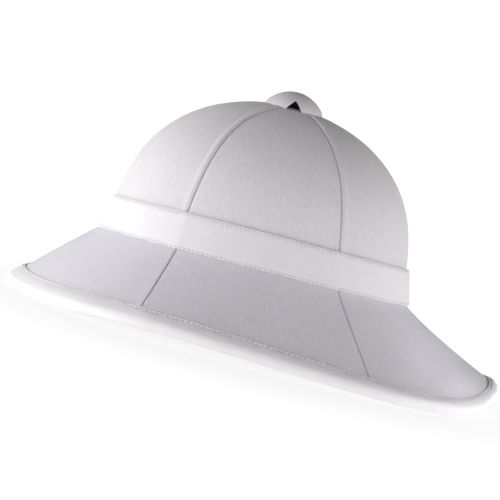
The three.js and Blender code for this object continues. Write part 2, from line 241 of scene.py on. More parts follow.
def pressed_pith():
    material, nodes, links, shader = start_material("pressed_pith")
    place = nodes.new("ShaderNodeTexCoord")
    fibres = nodes.new("ShaderNodeTexNoise")
    fibres.inputs["Scale"].default_value = 420
    fibres.inputs["Detail"].default_value = 6
    fibres.inputs["Distortion"].default_value = 1.6
    grains = nodes.new("ShaderNodeTexVoronoi")
    grains.inputs["Scale"].default_value = 260
    clouds = nodes.new("ShaderNodeTexNoise")
    clouds.inputs["Scale"].default_value = 22
    for texture in (fibres, grains, clouds):
        links.new(place.outputs["Object"], texture.inputs["Vector"])
    tone = nodes.new("ShaderNodeValToRGB")
    tone.color_ramp.elements[0].position = 0.3
    tone.color_ramp.elements[0].color = (0.60, 0.545, 0.45, 1)
    tone.color_ramp.elements[1].position = 0.7
    tone.color_ramp.elements[1].color = (0.76, 0.72, 0.635, 1)
    blend = nodes.new("ShaderNodeMath")
    blend.operation = "MULTIPLY_ADD"
    blend.inputs[1].default_value = 0.45
    half = nodes.new("ShaderNodeMath")
    half.operation = "MULTIPLY"
    half.inputs[1].default_value = 0.55
    links.new(clouds.outputs["Fac"], half.inputs[0])
    links.new(fibres.outputs["Fac"], blend.inputs[0])
    links.new(half.outputs[0], blend.inputs[2])
    links.new(blend.outputs[0], tone.inputs["Fac"])
    links.new(tone.outputs["Color"], shader.inputs["Base Color"])
    relief = nodes.new("ShaderNodeMath")
    relief.operation = "ADD"
    links.new(fibres.outputs["Fac"], relief.inputs[0])
    links.new(grains.outputs["Distance"], relief.inputs[1])
    bump = nodes.new("ShaderNodeBump")
    bump.inputs["Strength"].default_value = 0.35
    bump.inputs["Distance"].default_value = 0.0006
    links.new(relief.outputs[0], bump.inputs["Height"])
    links.new(bump.outputs["Normal"], shader.inputs["Normal"])
    rough = nodes.new("ShaderNodeMapRange")
    rough.inputs["To Min"].default_value = 0.82
    rough.inputs["To Max"].default_value = 0.96
    links.new(fibres.outputs["Fac"], rough.inputs["Value"])
    links.new(rough.outputs["Result"], shader.inputs["Roughness"])
    shader.inputs["Specular IOR Level"].default_value = 0.2
    return material


shell_angles = np.arange(240) * 1.5
shell_cover = np.concatenate([
    crown_point(shell_angles[None, :], dome_heights(SHELL_HOLE, 40)[:, None]),
    crown_point(shell_angles[None, :], -BAND_HEIGHT * np.linspace(0.2, 1, 5)[:, None]),
    brim_point(shell_angles[None, :], np.array([0.012, 0.035, *np.linspace(0.08, 1, 20)])[:, None]),
])
shell_out = outward(shell_cover, True)
shell_wall = np.full(len(shell_cover), PITH_WALL)
shell_wall[-6:] = np.linspace(PITH_WALL, PITH_EDGE, 6)
pith_shell = sewn_wall(
    "pith_body",
    shell_cover - shell_out * (CLOTH + LAYER_GAP),
    shell_cover - shell_out * (CLOTH + LAYER_GAP + shell_wall)[:, None, None], True, 40)
pith_shell.data.materials.append(pressed_pith())
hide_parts("pith_shell")
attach(pith_shell, "root")


# Crown gores: six tapering pieces of white cotton drill, stretched over the dome from vent to head opening.
# Each front and rear gore is turned under at its edge and lapped over its neighbour, which leaves
# a raised welt on one side of the seam and a narrow ditch on the other.
WELT_PROFILE = ((0.0, -0.6), (0.05, -0.2), (0.25, 0.1), (0.7, 0.36), (1.3, 0.6), (2.0, 0.74),
                (2.7, 0.72), (3.4, 0.52), (4.1, 0.22), (4.9, 0.05), (6.0, 0.0))
UNDER_PROFILE = ((0.0, -0.7), (0.3, -0.55), (0.7, -0.26), (1.2, -0.08), (2.2, -0.02), (4.0, 0.0))
VENT_CLOTH_HOLE = 14
GORE_ROWS = 46
GORE_INNER_COLUMNS = 26
COTTON_WHITE = (0.83, 0.795, 0.822)
COTTON_SHADE = (0.60, 0.572, 0.597)
THREAD_PITCH = 0.62


def cut_columns(rows_of, start_angle, end_angle, start_profile, end_profile, inner_columns):
    """Angles of the columns of a sewn piece at each row, with the given distances beside its two seams.
    Also gives the lift of each column over the form, and its distance from the nearer seam."""
    fine = np.linspace(start_angle, end_angle, 121)
    arcs = lengths_along(rows_of(fine[None, :]), 1, False)
    angles, lifts, seams = [], [], []
    for arc in arcs:
        length = arc[-1]
        tight = min(1.0, length / 24)
        first = np.array([d for d, _ in start_profile]) * tight
        final = np.array([d for d, _ in end_profile]) * tight
        inner = np.linspace(first[-1], length - final[-1], inner_columns + 2)[1:-1]
        place = np.concatenate([first, inner, length - final[::-1]])
        angles.append(np.interp(place, arc, fine))
        seams.append(np.minimum(place, length - place))
        lifts.append(np.concatenate([
            [h for _, h in start_profile], np.zeros(inner_columns), [h for _, h in end_profile][::-1]]))
    return np.array(angles), np.array(lifts), np.array(seams)


def cotton_drill(name, white, shade, streak=1.0, pitch=THREAD_PITCH):
    """White cotton drill: fine ribbed weave, warp slubs, a soft mottle, and painted shade where masked"""
    material, nodes, links, shader = start_material(name)
    lay = nodes.new("ShaderNodeUVMap")
    lay.uv_map = "cut"

    def waves(direction):
        wave = nodes.new("ShaderNodeTexWave")
        wave.wave_type = "BANDS"
        wave.bands_direction = direction
        wave.inputs["Scale"].default_value = 2 * math.pi / (20 * pitch * MM)
        wave.inputs["Distortion"].default_value = 0.6
        wave.inputs["Detail Scale"].default_value = 0.4
        links.new(lay.outputs["UV"], wave.inputs["Vector"])
        return wave

    def stretched_noise(scale_u, scale_v, detail):
        stretch = nodes.new("ShaderNodeMapping")
        stretch.inputs["Scale"].default_value = (scale_u, scale_v, 1)
        grain = nodes.new("ShaderNodeTexNoise")
        grain.inputs["Scale"].default_value = 1.0
        grain.inputs["Detail"].default_value = detail
        links.new(lay.outputs["UV"], stretch.inputs["Vector"])
        links.new(stretch.outputs["Vector"], grain.inputs["Vector"])
        return grain

    def maths(operation, first, second):
        node = nodes.new("ShaderNodeMath")
        node.operation = operation
        for socket, value in zip(node.inputs, (first, second)):
            if isinstance(value, (int, float)):
                socket.default_value = value
            else:
                links.new(value, socket)
        return node.outputs[0]

    warp, weft = waves("X"), waves("Y")
    slubs = stretched_noise(820, 150, 3)
    specks = stretched_noise(1500, 900, 2)
    mottle = stretched_noise(38, 30, 3)
    weft_share = maths("ADD", maths("MULTIPLY", weft.outputs["Fac"], 0.6), 0.4)
    weave = maths("MULTIPLY", warp.outputs["Fac"], weft_share)
    tone = maths("ADD", maths("MULTIPLY", slubs.outputs["Fac"], 0.9 * streak),
                 maths("MULTIPLY", specks.outputs["Fac"], 0.5 * streak))
    tone = maths("ADD", tone, maths("MULTIPLY", mottle.outputs["Fac"], 0.35))
    tone = maths("ADD", tone, maths("MULTIPLY", weave, 0.25))
    lowest = 0.25 * streak * 1.4 + 0.1
    spread = nodes.new("ShaderNodeMapRange")
    spread.inputs["From Min"].default_value = lowest
    spread.inputs["From Max"].default_value = lowest + 1.0 * streak + 0.35
    links.new(tone, spread.inputs["Value"])
    colour = nodes.new("ShaderNodeMix")
    colour.data_type = "RGBA"
    colour.inputs["A"].default_value = (*shade, 1)
    colour.inputs["B"].default_value = (*white, 1)
    links.new(spread.outputs["Result"], colour.inputs["Factor"])
    # Painted shade: a per-point mask greys the cloth towards a darker copy of its shade colour, for shade in
    # recesses
    seam = nodes.new("ShaderNodeAttribute")
    seam.attribute_name = "painted_shade_mask"
    greyed = nodes.new("ShaderNodeMix")
    greyed.data_type = "RGBA"
    greyed.inputs["B"].default_value = (shade[0] * 0.72, shade[1] * 0.72, shade[2] * 0.74, 1)
    links.new(seam.outputs["Fac"], greyed.inputs["Factor"])
    links.new(colour.outputs["Result"], greyed.inputs["A"])
    links.new(greyed.outputs["Result"], shader.inputs["Base Color"])
    relief = maths("ADD", maths("MULTIPLY", weave, 0.5), maths("MULTIPLY", slubs.outputs["Fac"], 0.8))
    relief = maths("ADD", relief, maths("MULTIPLY", specks.outputs["Fac"], 0.4))
    bump = nodes.new("ShaderNodeBump")
    bump.inputs["Strength"].default_value = 0.5
    bump.inputs["Distance"].default_value = 0.00022
    links.new(relief, bump.inputs["Height"])
    links.new(bump.outputs["Normal"], shader.inputs["Normal"])
    rough = nodes.new("ShaderNodeMapRange")
    rough.inputs["To Min"].default_value = 0.84
    rough.inputs["To Max"].default_value = 0.97
    links.new(slubs.outputs["Fac"], rough.inputs["Value"])
    links.new(rough.outputs["Result"], shader.inputs["Roughness"])
    shader.inputs["Specular IOR Level"].default_value = 0.15
    shader.inputs["Sheen Weight"].default_value = 0.08
    shader.inputs["Sheen Roughness"].default_value = 0.6
    return material


def lay_cloth(name, node, cover, lifts, seams, covered, cloth):
    """One sewn piece of cloth over the form. covered is the share of its lift that is left
    where another piece lies over it."""
    normal = outward(cover, False)
    outer = cover + normal * (lifts * covered)[..., None]
    inner = cover - normal * CLOTH
    # Painted shade: grey in the ditch where the cloth dips under its neighbour at a seam, and faintly beside
    # every seam
    painted_shade_mask = np.where(lifts < -0.3, 0.4, 0.0) + 0.08 * np.exp(-seams / 3.0)
    piece = sewn_wall(name, outer, inner, False, 48, painted_shade_mask)
    piece.data.materials.append(cloth)
    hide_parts(node)
    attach(piece, "root")
    return piece


crown_cotton = cotton_drill("crown_cotton_drill", COTTON_WHITE, COTTON_SHADE)
gore_heights = np.concatenate([
    dome_heights(VENT_CLOTH_HOLE, GORE_ROWS), [-1.2, -3, -8, -15, -(BAND_HEIGHT - LAYER_GAP)]])
gore_covered = np.interp(gore_heights, [-3, 0.5, 75, 86], [0.3, 1.0, 1.0, 0.75])[:, None]
GORES = (
    ("crown_gore_front_left", "crown_panel_front_left", 0, FRONT_SEAM,
     WELT_PROFILE, WELT_PROFILE, (0.104, 0.154), 0.0108),
    ("crown_gore_left", "crown_panel_left", FRONT_SEAM, REAR_SEAM,
     UNDER_PROFILE, UNDER_PROFILE, (0.107, 0.145), 0.0102),
    ("crown_gore_rear_left", "crown_panel_rear_left", REAR_SEAM, 180,
     WELT_PROFILE, UNDER_PROFILE, (0.103, 0.154), 0.0108),
    ("crown_gore_rear_right", "crown_panel_rear_right", 180, 360 - REAR_SEAM,
     WELT_PROFILE, WELT_PROFILE, (0.103, 0.154), 0.0108),
    ("crown_gore_right", "crown_panel_right", 360 - REAR_SEAM, 360 - FRONT_SEAM,
     UNDER_PROFILE, UNDER_PROFILE, (0.107, 0.145), 0.0102),
    ("crown_gore_front_right", "crown_panel_front_right", 360 - FRONT_SEAM, 360,
     WELT_PROFILE, UNDER_PROFILE, (0.104, 0.154), 0.0108),
)


def gore_cut(angle):
    """A gore's cloth at its foot angle, with the seams' lines curving in towards the vent"""
    rise = (np.maximum(0, gore_heights) / CROWN_RISE)[:, None]
    return crown_point(drifted(angle, 12 * rise ** 10 - 1.4, 1.4 - 4 * rise ** 8), gore_heights[:, None])


for name, node, start, end, start_profile, end_profile, flat, area in GORES:
    angles, lifts, seams = cut_columns(
        gore_cut, start, end, start_profile, end_profile, GORE_INNER_COLUMNS)
    lay_cloth(name, node, gore_cut(angles), lifts, seams, gore_covered,
              crown_cotton)


# Brim pieces: four pieces of the same drill over the upper side of the brim, front, sides and rear.
# The front and rear pieces are turned under and lapped over the side pieces, pressed flatter than on the crown.
# Their inner edges go under the hat band, and their outer edges into the rim's binding.
BRIM_WELT_PROFILE = ((0.0, -0.6), (0.05, -0.1), (0.18, 0.14), (0.45, 0.26), (0.9, 0.32), (1.7, 0.3),
                     (2.6, 0.2), (3.3, 0.1), (4.0, 0.04), (4.8, 0.01), (6.0, 0.0))
BRIM_INNER_COLUMNS = 44
brim_cotton = cotton_drill("brim_cotton_drill", (0.83, 0.81, 0.855), (0.60, 0.585, 0.63))
brim_shares = np.concatenate([[0.003, 0.03, 0.055], np.linspace(0.09, 0.9, 26), [0.93, 0.96, 1.0]])[:, None]
brim_covered = np.interp(brim_shares, [0.0, 0.06, 0.86, 0.94, 1], [0.4, 1.0, 1.0, 0.55, 0.5])
BRIM_PIECES = (
    ("brim_piece_front", "brim_panel_front", -FRONT_SEAM, FRONT_SEAM,
     BRIM_WELT_PROFILE, BRIM_WELT_PROFILE, (0.31, 0.11), 0.0172),
    ("brim_piece_left", "brim_panel_left", FRONT_SEAM, REAR_SEAM,
     UNDER_PROFILE, UNDER_PROFILE, (0.15, 0.075), 0.0076),
    ("brim_piece_rear", "brim_panel_rear", REAR_SEAM, 360 - REAR_SEAM,
     BRIM_WELT_PROFILE, BRIM_WELT_PROFILE, (0.32, 0.14), 0.0200),
    ("brim_piece_right", "brim_panel_right", 360 - REAR_SEAM, 360 - FRONT_SEAM,
     UNDER_PROFILE, UNDER_PROFILE, (0.15, 0.075), 0.0076),
)


def brim_cut(angle):
    """A brim piece's cloth at its foot angle, with the rear seams starting a little behind the crown's"""
    return brim_point(drifted(angle, 0, 2.8 - 3.7 * brim_shares), brim_shares)


for name, node, start, end, start_profile, end_profile, flat, area in BRIM_PIECES:
    angles, lifts, seams = cut_columns(
        brim_cut, start, end, start_profile, end_profile, BRIM_INNER_COLUMNS)
    lay_cloth(name, node, brim_cut(angles), lifts, seams, brim_covered,
              brim_cotton)


# Hat band: one strip of drill with both edges turned in, drawn tight round the foot of the crown.
# It hides the seam between crown and brim and is sewn down close to both edges, so the edges pucker
# between the stitches and stand off a little between the welts that they cross.
BAND_STITCH_INSET = 1.6
BAND_STITCHES = 222
BAND_COLUMNS_PER_STITCH = 4
THREAD_WIDTH = 0.85
band_cotton = cotton_drill("band_cotton_drill", (0.84, 0.812, 0.838), (0.74, 0.712, 0.74), streak=0.8)


def slow_ripple(angle, seed, slowest, fastest, count=7):
    """A smooth wandering value between about -1 and 1 that closes on itself round the helmet"""
    draw = np.random.default_rng(seed)
    total = np.zeros(np.shape(angle))
    for turns in draw.integers(slowest, fastest, count):
        total = total + np.sin(np.radians(angle) * int(turns) + draw.uniform(0, 2 * math.pi))
    return total / math.sqrt(count)


def crown_out(angle, height):
    along = crown_point(angle + 0.4, height) - crown_point(angle - 0.4, height)
    down = crown_point(angle, height - 0.4) - crown_point(angle, height + 0.4)
    normal = np.cross(down, along)
    return normal / np.linalg.norm(normal, axis=-1, keepdims=True)


def seam_nearness(angle, reach_degrees, seam_angles):
    nearness = np.zeros(np.shape(angle))
    for seam in seam_angles:
        gap = (np.asarray(angle) - seam + 180) % 360 - 180
        nearness = np.maximum(nearness, np.exp(-(gap / reach_degrees) ** 2))
    return nearness


def swept_ring(name, loop, crease_degrees, painted_shade_mask=None):
    """A closed ring of cloth: the grid's rows go round its section, its columns round the helmet"""
    rows, columns = loop.shape[:2]
    index, lattice = grid_faces(rows, columns, True, True)
    round_section = lengths_along(loop, 0, True)[:, 0]
    round_helmet = lengths_along(loop, 1, True)[rows // 4]
    uv = np.stack([round_section[lattice[..., 0]], round_helmet[lattice[..., 1]]], axis=-1)
    return make_mesh(name, loop.reshape(-1, 3), index, uv, crease_degrees, painted_shade_mask)


def run_stitches(name, path, normals, stitch_share, thread, lift):
    """A row of stitches along a closed path, each a short plump thread that dips into the cloth at both ends"""
    rings, sides = 7, 6
    count = len(path)
    following = np.roll(path, -1, axis=0)
    along = (following - path) * stitch_share
    side = np.cross(along, normals)
    side /= np.linalg.norm(side, axis=-1, keepdims=True)
    points, faces, uv = [], [], []
    for k in range(rings):
        share = k / (rings - 1)
        plump = math.sin(math.pi * min(max(share, 0.04), 0.96)) ** 0.4
        rise = lift * (math.sin(math.pi * share) ** 0.7) - thread * 0.35 * (1 - math.sin(math.pi * share))
        centre = path + along * share + normals * rise
        for s in range(sides):
            turn = 2 * math.pi * s / sides
            points.append(centre + (side * math.cos(turn) + normals * math.sin(turn)) * thread * 0.5 * plump)
    points = np.stack(points, axis=1).reshape(-1, 3)
    stitch = rings * sides
    for n in range(count):
        base = n * stitch
        for k in range(rings - 1):
            for s in range(sides):
                t = (s + 1) % sides
                faces.append([base + k * sides + s, base + k * sides + t,
                              base + (k + 1) * sides + t, base + (k + 1) * sides + s])
                uv.append([(s * 0.3, k * 0.4), (s * 0.3 + 0.3, k * 0.4),
                           (s * 0.3 + 0.3, k * 0.4 + 0.4), (s * 0.3, k * 0.4 + 0.4)])
        faces.append([base + s for s in reversed(range(sides))])
        uv.append([(s * 0.3, 0.0) for s in range(sides)])
        faces.append([base + (rings - 1) * sides + s for s in range(sides)])
        uv.append([(s * 0.3, 2.4) for s in range(sides)])
    flat_uv = np.array([corner for face in uv for corner in face])
    return make_mesh(name, points, faces, flat_uv, 70)


def twisted_thread():
    material, nodes, links, shader = start_material("white_sewing_thread")
    lay = nodes.new("ShaderNodeUVMap")
    lay.uv_map = "cut"
    turn = nodes.new("ShaderNodeMapping")
    turn.inputs["Rotation"].default_value = (0, 0, math.radians(32))
    plies = nodes.new("ShaderNodeTexWave")
    plies.inputs["Scale"].default_value = 2 * math.pi / (20 * 0.28 * MM)
    links.new(lay.outputs["UV"], turn.inputs["Vector"])
    links.new(turn.outputs["Vector"], plies.inputs["Vector"])
    tone = nodes.new("ShaderNodeMix")
    tone.data_type = "RGBA"
    tone.inputs["A"].default_value = (0.66, 0.65, 0.69, 1)
    tone.inputs["B"].default_value = (0.88, 0.87, 0.89, 1)
    links.new(plies.outputs["Fac"], tone.inputs["Factor"])
    links.new(tone.outputs["Result"], shader.inputs["Base Color"])
    bump = nodes.new("ShaderNodeBump")
    bump.inputs["Strength"].default_value = 0.6
    bump.inputs["Distance"].default_value = 0.00015
    links.new(plies.outputs["Fac"], bump.inputs["Height"])
    links.new(bump.outputs["Normal"], shader.inputs["Normal"])
    shader.inputs["Roughness"].default_value = 0.7
    shader.inputs["Specular IOR Level"].default_value = 0.25
    return material


sewing_thread = twisted_thread()
SEAM_ANGLES = (0, FRONT_SEAM, REAR_SEAM, 180, 360 - REAR_SEAM, 360 - FRONT_SEAM)
band_count = BAND_STITCHES * BAND_COLUMNS_PER_STITCH
band_angles = np.arange(band_count) * 360 / band_count
band_stitch_wave = np.cos(2 * math.pi * np.arange(len(band_angles)) / BAND_COLUMNS_PER_STITCH)
band_out = crown_out(band_angles, np.full(len(band_angles), -BAND_HEIGHT / 2))
band_over_seam = 0.35 * seam_nearness(band_angles, 3.2, SEAM_ANGLES)
band_stand_off = 0.25 * np.sin(math.pi * across_gore(band_angles)) + 0.12 * slow_ripple(band_angles, 3, 9, 40)
BAND_LOW = -(BAND_HEIGHT + 0.9)
BAND_STITCHED = (1.7, 1.76, 1.8, 1.74, 1.86)
# Heights on the crown and distances from it, from the inner face over the upper edge and down to the lower edge
BAND_SECTION = (
    (-2.4, 0.2), (-0.9, 0.15), (-0.15, 0.3), (0.12, 0.7), (0.0, 1.2), (-0.4, 1.56), (-1.0, 1.78),
    (-1.45, 1.76), (-BAND_STITCH_INSET, 1.7), (-2.0, 1.8), (-2.6, 1.95), (-3.6, 2.08), (-5.2, 2.1),
    (-7.2, 2.12), (-9.2, 2.14), (-11.2, 2.14), (-13.2, 2.14), (-15.2, 2.12), (-17.0, 2.1),
    (BAND_LOW + 3.4, 2.08), (BAND_LOW + 2.2, 2.02), (BAND_LOW + 1.6, 1.86), (BAND_LOW + 1.25, 1.74),
    (BAND_LOW + 1.0, 1.8), (BAND_LOW + 0.75, 1.84), (BAND_LOW + 0.4, 1.7), (BAND_LOW + 0.1, 1.4),
    (BAND_LOW + 0.15, 1.0), (BAND_LOW + 0.6, 0.62), (BAND_LOW + 1.3, 0.38), (BAND_LOW + 2.4, 0.35),
    (-15.0, 0.35), (-7.0, 0.35),
)
band_loop = []
for k, (height, off) in enumerate(BAND_SECTION):
    outside = off > 1.0
    edge_top = math.exp(-((height + 0.4) / 1.1) ** 2)
    edge_low = math.exp(-((height - BAND_LOW - 0.4) / 1.1) ** 2)
    middle = math.sin(math.pi * min(max(height / BAND_LOW, 0), 1))
    edge_lift = 0.14 * -band_stitch_wave + np.maximum(0, band_stand_off)
    lift = off + band_over_seam + (edge_top + edge_low) * edge_lift
    heights = np.full(len(band_angles), height)
    if outside:
        wrinkle = slow_ripple(band_angles + height * 0.9, 11 + k // 3, 14, 60) * 0.5
        wrinkle = wrinkle + slow_ripple(band_angles - height * 1.6, 31, 8, 30)
        lift = lift + 0.09 * middle * wrinkle
        heights = heights + 0.1 * (edge_top - edge_low) * -band_stitch_wave
        heights = heights + 0.16 * (edge_top + edge_low) * slow_ripple(band_angles, 5, 5, 26)
    band_loop.append(crown_point(band_angles, heights) + band_out * lift[:, None])
band_loop = np.array(band_loop)
# Painted shade in the needle holes along both stitched rows of the band
needle_hole_painted_shade = np.tile([0.45, 0.06, 0.06, 0.45], BAND_STITCHES)
band_clean = np.full(len(band_angles), 0.02)
# Painted shadow under the band's lower edge, varying slowly round the helmet
band_foot_painted_shadow = np.clip(0.7 + 0.5 * slow_ripple(band_angles, 17, 6, 50), 0.1, 1)
band_painted_shade = np.array([
    band_foot_painted_shadow if height < BAND_LOW + 0.3 else needle_hole_painted_shade if off in BAND_STITCHED else band_clean
    for height, off in BAND_SECTION])
hat_band = swept_ring("hat_band_strip", band_loop, 60, band_painted_shade)
hat_band.data.materials.append(band_cotton)
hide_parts("hat_band")
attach(hat_band, "root")
for name, row in (("band_stitches_upper", 8), ("band_stitches_lower", 22)):
    path = band_loop[row, ::BAND_COLUMNS_PER_STITCH]
    stitches = run_stitches(name, path, band_out[::BAND_COLUMNS_PER_STITCH], 0.76, THREAD_WIDTH, 0.3)
    stitches.data.materials.append(sewing_thread)
    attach(stitches, "root")


# Rim binding: a bias strip of drill folded round the edge of the brim, with a flap above and a flap below.
# It is padded by its turned-in edges into a round nose, sewn through both flaps near their inner edges,
# and pressed flat where the helmet stands on it.
BINDING_FLAP = (10.6, 7.8, 4.6)
BINDING_THICKNESS = 1.2
BINDING_STITCHES = 284
BINDING_COLUMNS_PER_STITCH = 3
BINDING_STITCH_INSET = 1.7
NOSE_STEPS = 14
INSIDE_STEPS = 8
INSIDE_FLOOR = 0.5
binding_cotton = cotton_drill("binding_cotton_drill", (0.89, 0.872, 0.895), (0.80, 0.782, 0.805), streak=0.8)
nose_top = 2 * LAYER_GAP + BINDING_THICKNESS
nose_bottom = -(CLOTH + 2 * LAYER_GAP + PITH_EDGE + BINDING_THICKNESS)
nose_radius = (nose_top - nose_bottom) / 2
nose_middle = (nose_top + nose_bottom) / 2
binding_count = BINDING_STITCHES * BINDING_COLUMNS_PER_STITCH
binding_fine = np.linspace(0, 360, 2881)
binding_round = lengths_along(brim_point(binding_fine[None, :], np.ones((1, 1))), 1, False)[0]
binding_steps = np.arange(binding_count) * binding_round[-1] / binding_count
binding_angles = np.interp(binding_steps, binding_round, binding_fine)
binding_stitch_wave = np.cos(2 * math.pi * np.arange(binding_count) / BINDING_COLUMNS_PER_STITCH)
binding_edge = brim_point(binding_angles, np.ones(binding_count))
binding_slope = binding_edge - brim_point(binding_angles, np.full(binding_count, 0.93))
binding_slope /= np.linalg.norm(binding_slope, axis=-1, keepdims=True)
binding_along = np.roll(binding_edge, -1, axis=0) - np.roll(binding_edge, 1, axis=0)
binding_up = np.cross(binding_slope, binding_along)
binding_up /= np.linalg.norm(binding_up, axis=-1, keepdims=True)
binding_flap = around(binding_angles, *BINDING_FLAP)
binding_over_seam = 0.3 * seam_nearness(
    binding_angles, 1.8, (FRONT_SEAM, REAR_SEAM, 360 - REAR_SEAM, 360 - FRONT_SEAM))
binding_drift = slow_ripple(binding_angles, 21, 6, 34)
binding_pucker = slow_ripple(binding_angles, 22, 40, 130)
# Places across a flap from its inner edge to the nose: the share of the flap's width, a set distance, and lift
FLAP_SECTION = (
    (1, 0.3, 0.12), (1, 0.0, 0.2), (1, -0.1, 0.45), (1, 0.1, 0.78), (1, 0.6, 1.0),
    (1, BINDING_STITCH_INSET - 0.35, 1.02), (1, BINDING_STITCH_INSET, 0.94),
    (1, BINDING_STITCH_INSET + 0.4, 1.06), (1, BINDING_STITCH_INSET + 1.0, 1.24),
    (0.55, 0.0, 1.55), (0.25, 0.0, 1.78),
)
lower_flap = [(share, inset, nose_bottom - (lift - nose_top)) for share, inset, lift in FLAP_SECTION][::-1]
nose = []
for step in range(NOSE_STEPS + 1):
    turn = math.pi / 2 - math.pi * step / NOSE_STEPS
    nose.append((nose_radius * math.cos(turn), nose_middle + nose_radius * math.sin(turn)))
inside = []
for step in range(INSIDE_STEPS + 1):
    turn = -math.pi / 2 + math.pi * step / INSIDE_STEPS
    reach = nose_radius - BINDING_THICKNESS
    inside.append((reach * math.cos(turn), nose_middle + reach * math.sin(turn)))
binding_loop, binding_painted_shade = [], []
# Painted shade in the needle holes along both stitched rows of the binding
binding_hole_painted_shade = np.tile([0.9, 0.1, 0.45], BINDING_STITCHES)
binding_clean = np.full(binding_count, 0.03)


def place_binding(along, across, floor):
    point = binding_edge + binding_slope * along[:, None] + binding_up * across[:, None]
    point[:, 2] = np.maximum(point[:, 2], floor)
    return point


for share, inset, lift in FLAP_SECTION:
    near_edge = math.exp(-((inset - 0.3) / 1.3) ** 2) if share == 1 else 0.0
    along = -share * binding_flap + inset + near_edge * (0.12 * binding_stitch_wave + 0.22 * binding_drift)
    across = lift + binding_over_seam + near_edge * 0.12 * -binding_stitch_wave
    if 0 < share < 1:
        across = across + 0.1 * binding_pucker + 0.12 * binding_drift
    binding_loop.append(place_binding(along, across, 0.0))
    binding_painted_shade.append(binding_hole_painted_shade if inset == BINDING_STITCH_INSET else binding_clean)
for along, across in nose:
    swell = 1 + 0.02 * binding_pucker + 0.025 * binding_drift
    height = nose_middle + (across - nose_middle) * np.sqrt(swell)
    binding_loop.append(place_binding(along * swell, height, 0.0))
    binding_painted_shade.append(binding_clean)
for share, inset, lift in lower_flap:
    near_edge = math.exp(-((inset - 0.3) / 1.3) ** 2) if share == 1 else 0.0
    along = -share * binding_flap + inset + near_edge * (0.12 * binding_stitch_wave + 0.22 * binding_drift)
    across = np.full(binding_count, lift) - near_edge * 0.1 * -binding_stitch_wave
    binding_loop.append(place_binding(along, across, 0.0))
    binding_painted_shade.append(binding_hole_painted_shade if inset == BINDING_STITCH_INSET else binding_clean)
for share in (0.8, 0.4):
    under = np.full(binding_count, nose_bottom + BINDING_THICKNESS)
    binding_loop.append(place_binding(-share * binding_flap, under, INSIDE_FLOOR))
    binding_painted_shade.append(binding_clean)
for along, across in inside:
    binding_loop.append(place_binding(
        np.full(binding_count, along), np.full(binding_count, across), INSIDE_FLOOR))
    binding_painted_shade.append(binding_clean)
for share in (0.4, 0.8):
    over = np.full(binding_count, nose_top - BINDING_THICKNESS)
    binding_loop.append(place_binding(-share * binding_flap, over, INSIDE_FLOOR))
    binding_painted_shade.append(binding_clean)
binding_loop = np.array(binding_loop)
rim_binding = swept_ring("rim_binding_strip", binding_loop, 60, np.array(binding_painted_shade))
rim_binding.data.materials.append(binding_cotton)
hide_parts("rim_binding")
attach(rim_binding, "root")
upper_row, lower_row = 6, len(FLAP_SECTION) + len(nose) + 4
for name, row, facing in (
        ("binding_stitches_upper", upper_row, 1), ("binding_stitches_under", lower_row, -1)):
    path = binding_loop[row, ::BINDING_COLUMNS_PER_STITCH]
    normals = binding_up[::BINDING_COLUMNS_PER_STITCH] * facing
    stitches = run_stitches(name, path, normals, 0.74, THREAD_WIDTH, 0.28)
    stitches.data.materials.append(sewing_thread)
    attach(stitches, "root")


# Vent collar: a short flanged tube of sheet metal through the top of the shell, near black as painted shade.
# Its flange clamps the gores' points together and carries the cap, and its bore lets warm air out.
def vent_painted_shade_metal():
    material, nodes, links, shader = start_material("vent_metal_painted_shade")
    # Near black with a faint mottle: painted shade for the dark inside of the vent
    place = nodes.new("ShaderNodeTexCoord")
    painted_shade_mask = nodes.new("ShaderNodeTexNoise")
    painted_shade_mask.inputs["Scale"].default_value = 300
    painted_shade_mask.inputs["Detail"].default_value = 5
    links.new(place.outputs["Object"], painted_shade_mask.inputs["Vector"])
    tone = nodes.new("ShaderNodeValToRGB")
    tone.color_ramp.elements[0].position = 0.4
    tone.color_ramp.elements[0].color = (0.006, 0.006, 0.007, 1)
    tone.color_ramp.elements[1].position = 0.75
    tone.color_ramp.elements[1].color = (0.022, 0.021, 0.022, 1)
    links.new(painted_shade_mask.outputs["Fac"], tone.inputs["Fac"])
    links.new(tone.outputs["Color"], shader.inputs["Base Color"])
    rough = nodes.new("ShaderNodeMapRange")
    rough.inputs["To Min"].default_value = 0.7
    rough.inputs["To Max"].default_value = 0.9
    links.new(painted_shade_mask.outputs["Fac"], rough.inputs["Value"])
    links.new(rough.outputs["Result"], shader.inputs["Roughness"])
    bump = nodes.new("ShaderNodeBump")
    bump.inputs["Strength"].default_value = 0.2
    bump.inputs["Distance"].default_value = 0.0002
    links.new(painted_shade_mask.outputs["Fac"], bump.inputs["Height"])
    links.new(bump.outputs["Normal"], shader.inputs["Normal"])
    shader.inputs["Specular IOR Level"].default_value = 0.08
    return material


vent_painted_shade_black = vent_painted_shade_metal()
vent_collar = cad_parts["vent_collar"]
vent_collar.data.materials.clear()
vent_collar.data.materials.append(vent_painted_shade_black)


# Vent cap: a pressed metal dome covered in drill, on top of the crown, near black inside as painted shade.
# Its lower edge follows the crown, and four pointed air holes are cut up from it, front, rear and sides.
# Their cut edges are near black and the cloth greys towards every edge, both painted shade.
CAP_RADIUS = 20.0
CAP_HEIGHT = 12.2
CAP_CREST = 1.4
CAP_DROP = 1.4
CAP_WALL = 1.3
CAP_SKIRT = 6.0
CAP_CLEAR = 0.1
HOLE_TOP = 4.7
HOLE_HALF_WIDTH = 5.6
CAP_ROWS = (0, 0.012, 0.03, 0.055, 0.09, 0.14, 0.2, 0.28, 0.37, 0.47, 0.57, 0.67, 0.77, 0.86, 0.93, 0.975)
cap_cotton = cotton_drill("cap_cotton_drill", (0.70, 0.665, 0.70), (0.58, 0.55, 0.58), streak=0.8)

